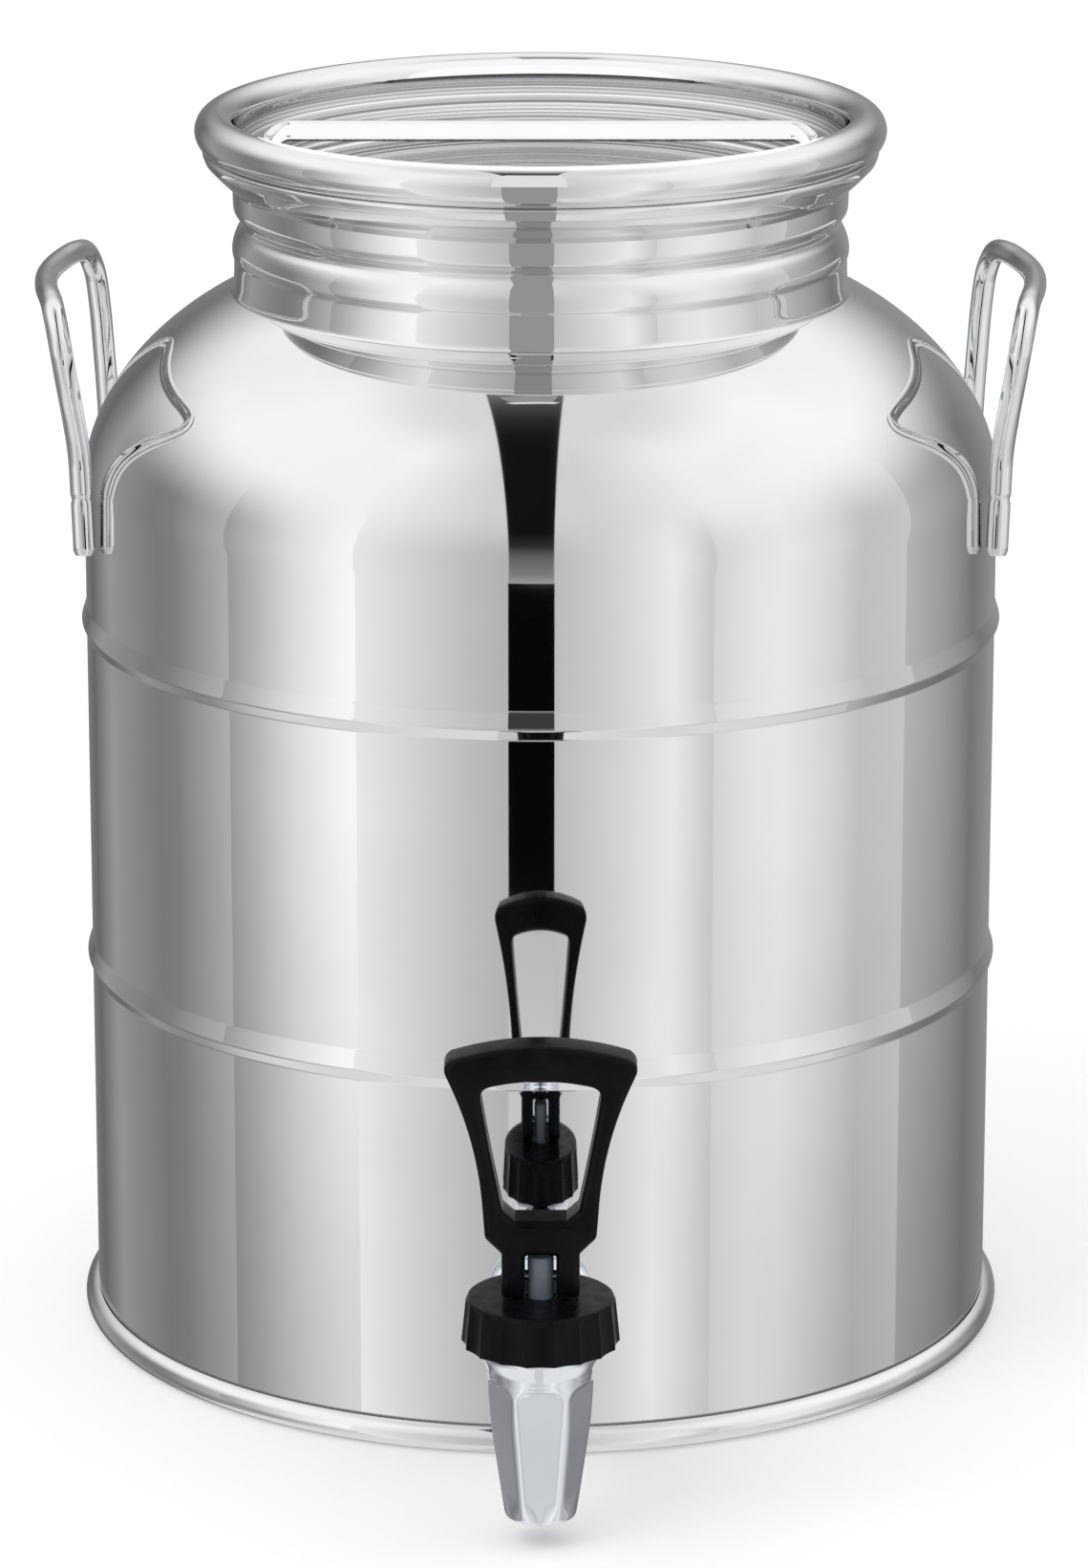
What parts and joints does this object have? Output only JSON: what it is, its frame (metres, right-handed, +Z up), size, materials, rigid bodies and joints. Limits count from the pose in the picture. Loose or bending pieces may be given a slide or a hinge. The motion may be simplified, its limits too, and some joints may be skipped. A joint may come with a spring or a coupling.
{
  "type": "milk can dispenser",
  "caption": "Polished steel milk can with domed shoulder, lift-off dished lid, welded side handles and a sprung lever faucet for serving drinks.",
  "frame": {"origin": "on the floor, under the centre of the overall box; the can's own upright axis stands 36.9 mm behind it, at y = +0.036875", "axes": "+Z up along the can; -Y towards the faucet and the person serving; +X to the right as seen from the faucet side"},
  "size_m": [0.2592, 0.3166, 0.3206],
  "materials": {
    "polished_steel": "mirror polished",
    "brushed_steel": "satin brushed",
    "chrome": "bright plated",
    "black_plastic": "moulded, soft gloss",
    "stem_plastic": "satin moulded",
    "rubber": "matte",
    "silicone": "satin"
  },
  "bodies": {
    "can": {"body_shell": "polished_steel", "shoulder_dome": "polished_steel", "neck_collar": "polished_steel", "mouth_rim": "polished_steel", "bottom_pan": "brushed_steel", "foot_ring": "polished_steel", "handle_left": "polished_steel", "handle_right": "polished_steel", "faucet_shank": "chrome", "shank_flange": "chrome", "outer_washer": "rubber", "inner_washer": "rubber", "shank_nut": "brushed_steel", "faucet_body": "chrome", "bonnet_collar": "black_plastic", "closing_spring": "brushed_steel"},
    "lid": {"lid_rim": "polished_steel", "lid_pan": "polished_steel", "lid_bar": "polished_steel", "lid_seal": "silicone"},
    "stem": {"valve_stem": "stem_plastic", "seat_cup": "silicone", "lever_pin": "brushed_steel"},
    "lever": {"lever": "black_plastic"}
  },
  "joints": [
    {"name": "lid_lift", "type": "slide", "parent": "can", "child": "lid", "axis": [0, 0, 1], "range_m": [0, 0.08]},
    {"name": "stem_lift", "type": "slide", "parent": "can", "child": "stem", "axis": [0, 0, 1], "range_m": [0, 0.0036], "deforming": ["closing_spring"]},
    {"name": "lever_tilt", "type": "hinge", "parent": "stem", "child": "lever", "pos_m": [0, -0.13912, 0.0684], "axis": [1, 0, 0], "range_deg": [0, 60], "stiffness_Nm_per_rad": 0.06, "springref_deg": -34.38}
  ],
  "couplings": [
    {"joint": "stem_lift", "follows": "lever_tilt", "m_per_rad": 0.00334}
  ]
}
